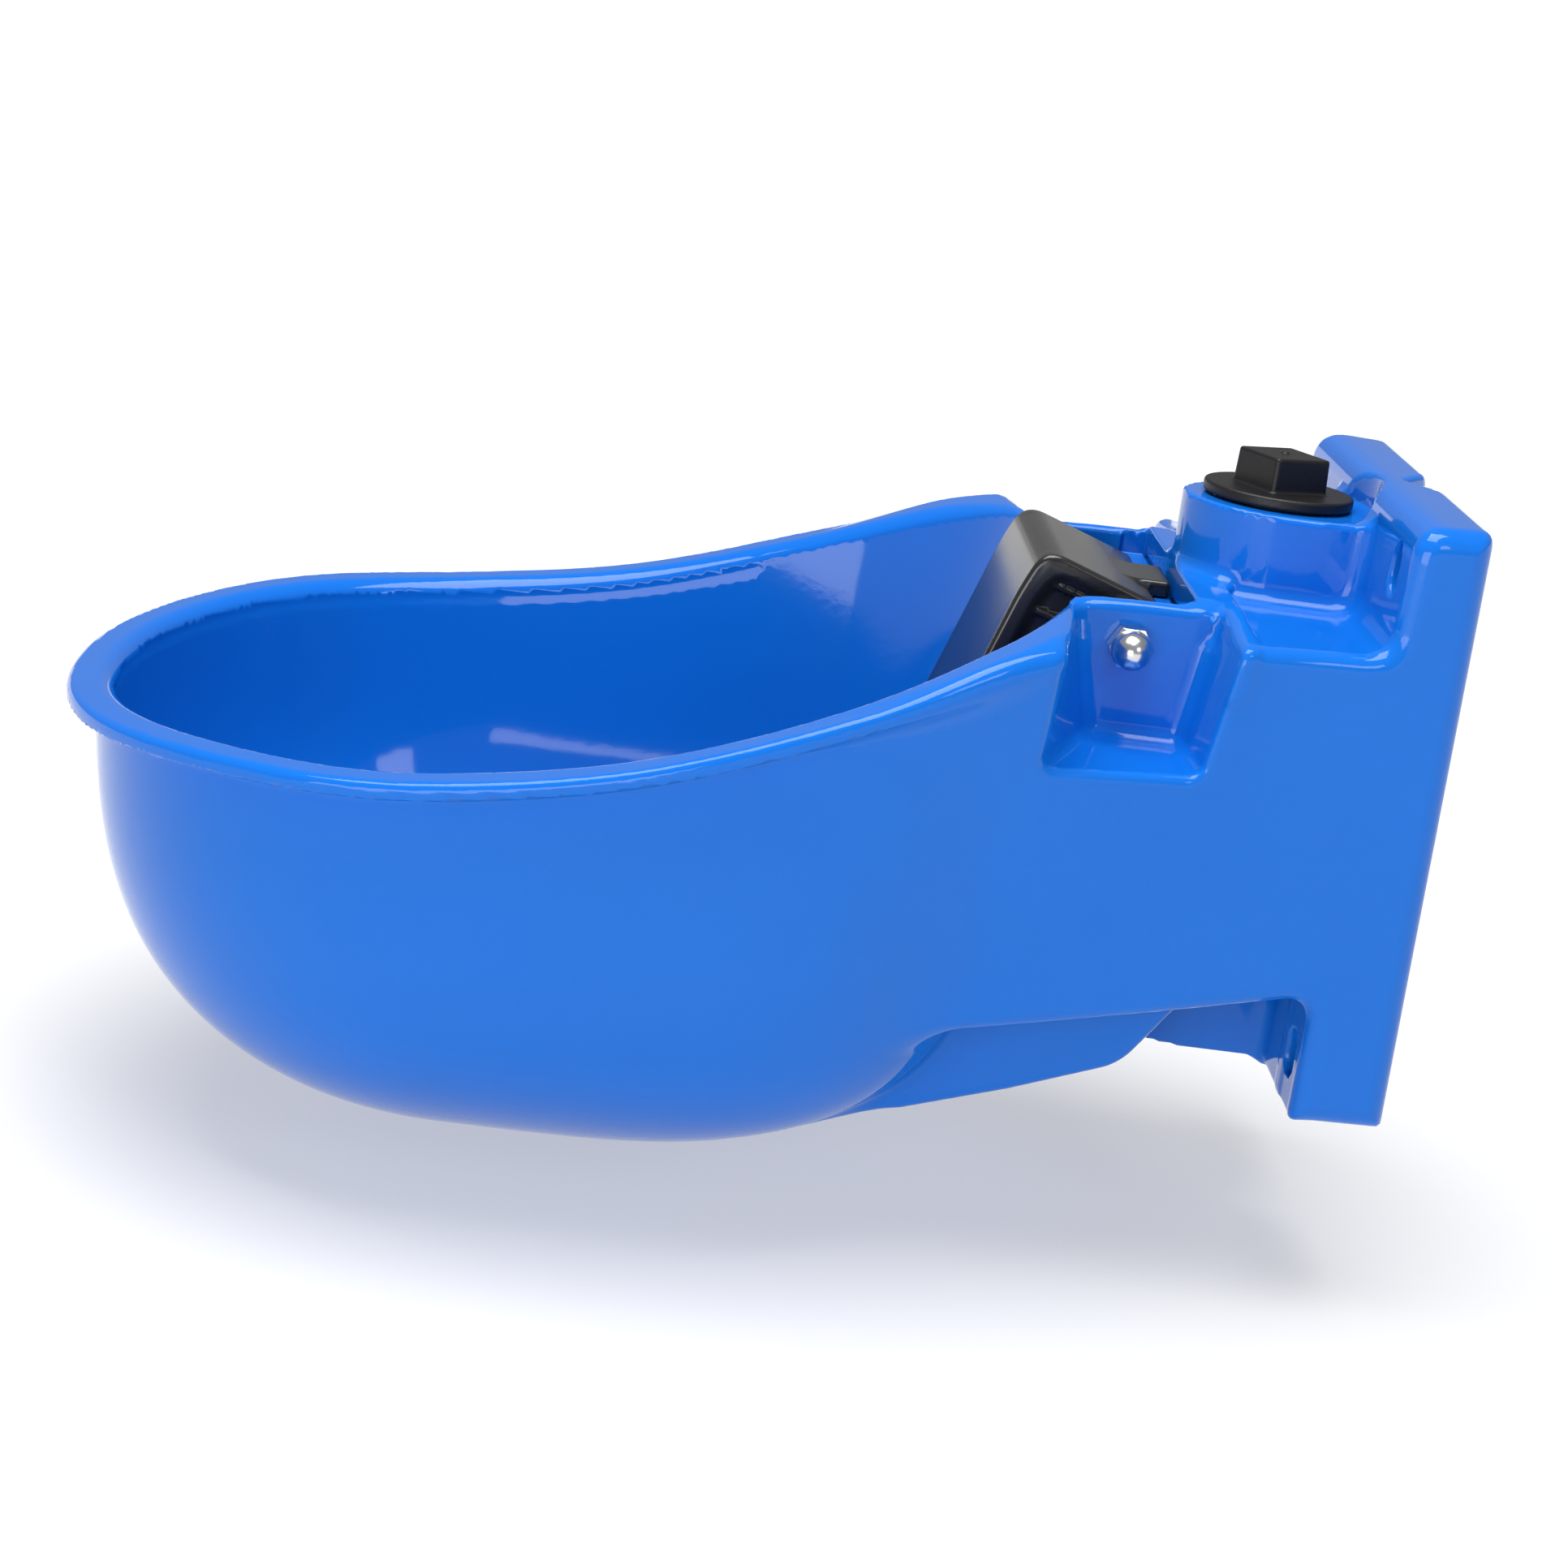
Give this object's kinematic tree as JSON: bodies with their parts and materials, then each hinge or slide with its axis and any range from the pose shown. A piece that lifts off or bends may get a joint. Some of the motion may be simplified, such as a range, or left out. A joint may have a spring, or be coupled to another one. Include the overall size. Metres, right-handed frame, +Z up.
{
  "type": "livestock drinking bowl",
  "caption": "Wall-mounted drinking bowl: one-piece blue basin and plate, hinged paddle that opens a water valve, threaded inlet column with a square-headed plug.",
  "frame": {"origin": "centre of the four-bolt pattern on the wall plane", "axes": "+Y out of the back of the plate into the wall, -Y towards the front of the bowl, +Z up, X across the bowl with the cap nut on +X"},
  "size_m": [0.2446, 0.3454, 0.2012],
  "materials": {
    "blue_plastic": "glossy moulded polyethylene",
    "black_plastic": "glossy moulded nylon",
    "matte_black": "matte moulded nylon",
    "zinc_steel": "bright zinc plated",
    "rubber": "matte nitrile",
    "brass": "turned",
    "fibre": "vulcanised fibre",
    "natural_nylon": "natural, satin",
    "stainless": "drawn and turned"
  },
  "bodies": {
    "housing": {"trough_body": "blue_plastic", "hinge_bolt": "zinc_steel", "cap_nut": "zinc_steel", "hinge_spacer_left": "matte_black", "hinge_spacer_right": "matte_black", "inlet_plug": "matte_black", "plug_gasket": "rubber", "valve_body": "brass", "valve_washer": "fibre", "seat_ring": "natural_nylon", "stem_guide": "natural_nylon", "spring_retainer": "stainless", "strainer": "natural_nylon", "valve_spring": "stainless"},
    "paddle": {"paddle": "black_plastic"},
    "valve_stem": {"valve_stem": "stainless", "push_cap": "matte_black", "valve_seal": "rubber", "seal_holder": "brass", "stem_nut": "stainless"}
  },
  "joints": [
    {"name": "paddle_swing", "type": "hinge", "parent": "housing", "child": "paddle", "pos_m": [0, -0.0813, 0.035], "axis": [1, 0, 0], "range_deg": [0, 10]},
    {"name": "stem_slide", "type": "slide", "parent": "housing", "child": "valve_stem", "axis": [0, 1, 0], "range_m": [0, 0.0054], "stiffness_N_per_m": 400, "springref_m": -0.01, "deforming": ["valve_spring"]}
  ],
  "couplings": [
    {"joint": "stem_slide", "follows": "paddle_swing", "m_per_rad": 0.0305}
  ]
}
